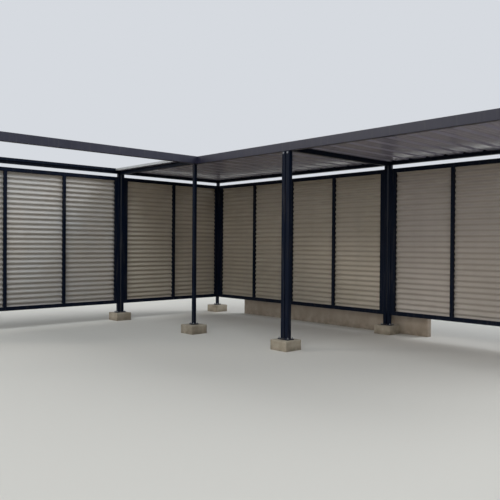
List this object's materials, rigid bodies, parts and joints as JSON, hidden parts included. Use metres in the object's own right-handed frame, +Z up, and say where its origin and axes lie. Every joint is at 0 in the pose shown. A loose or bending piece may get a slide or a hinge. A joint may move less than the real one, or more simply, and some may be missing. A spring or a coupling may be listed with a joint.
{
  "type": "modular bicycle shelter",
  "caption": "L-shaped open-fronted bicycle shelter: square-tube frame on concrete blocks, framed corrugated walls at the back, ribbed sheet roof set inside a beam ring",
  "frame": {"origin": "on the ground, in the middle of the underside of the concrete block under the inner corner post", "axes": "+X along the right wing, away from the corner; +Y towards the rear wall; +Z up"},
  "size_m": [8.245, 6.545, 2.618],
  "materials": {
    "post": "satin",
    "roof_beam": "satin",
    "wall_frame": "satin",
    "wall_sheet": "satin",
    "roof_sheet": "semi-gloss",
    "edge_trim": "satin",
    "concrete": "matte"
  },
  "bodies": {
    "root": {"beam_corner_side": "roof_beam", "beam_front_middle": "roof_beam", "beam_front_right": "roof_beam", "beam_left_end": "roof_beam", "beam_left_front": "roof_beam", "beam_left_rear": "roof_beam", "beam_rear_middle": "roof_beam", "beam_rear_right": "roof_beam", "beam_right_end": "roof_beam", "cladding_corner_side": "wall_sheet", "cladding_left": "wall_sheet", "cladding_rear_middle": "wall_sheet", "cladding_rear_right": "wall_sheet", "cross_beam_corner": "roof_beam", "cross_beam_joint": "roof_beam", "footing_front_joint": "concrete", "footing_inner_corner": "concrete", "footing_left_end_front": "concrete", "footing_left_end_rear": "concrete", "footing_left_joint": "concrete", "footing_rear_corner": "concrete", "footing_rear_joint": "concrete", "footing_right_end_front": "concrete", "footing_right_end_rear": "concrete", "post_front_joint": "post", "post_inner_corner": "post", "post_left_end_front": "post", "post_left_end_rear": "post", "post_left_joint": "post", "post_rear_corner": "post", "post_rear_joint": "post", "post_right_end_front": "post", "post_right_end_rear": "post", "rear_plinth_wall": "concrete", "roof_edge_trim": "edge_trim", "roof_sheet_1": "roof_sheet", "roof_sheet_2": "roof_sheet", "roof_sheet_3": "roof_sheet", "roof_sheet_4": "roof_sheet", "roof_sheet_5": "roof_sheet", "roof_sheet_6": "roof_sheet", "roof_sheet_7": "roof_sheet", "wall_frame_corner_side": "wall_frame", "wall_frame_left": "wall_frame", "wall_frame_rear_middle": "wall_frame", "wall_frame_rear_right": "wall_frame"}
  },
  "joints": []
}
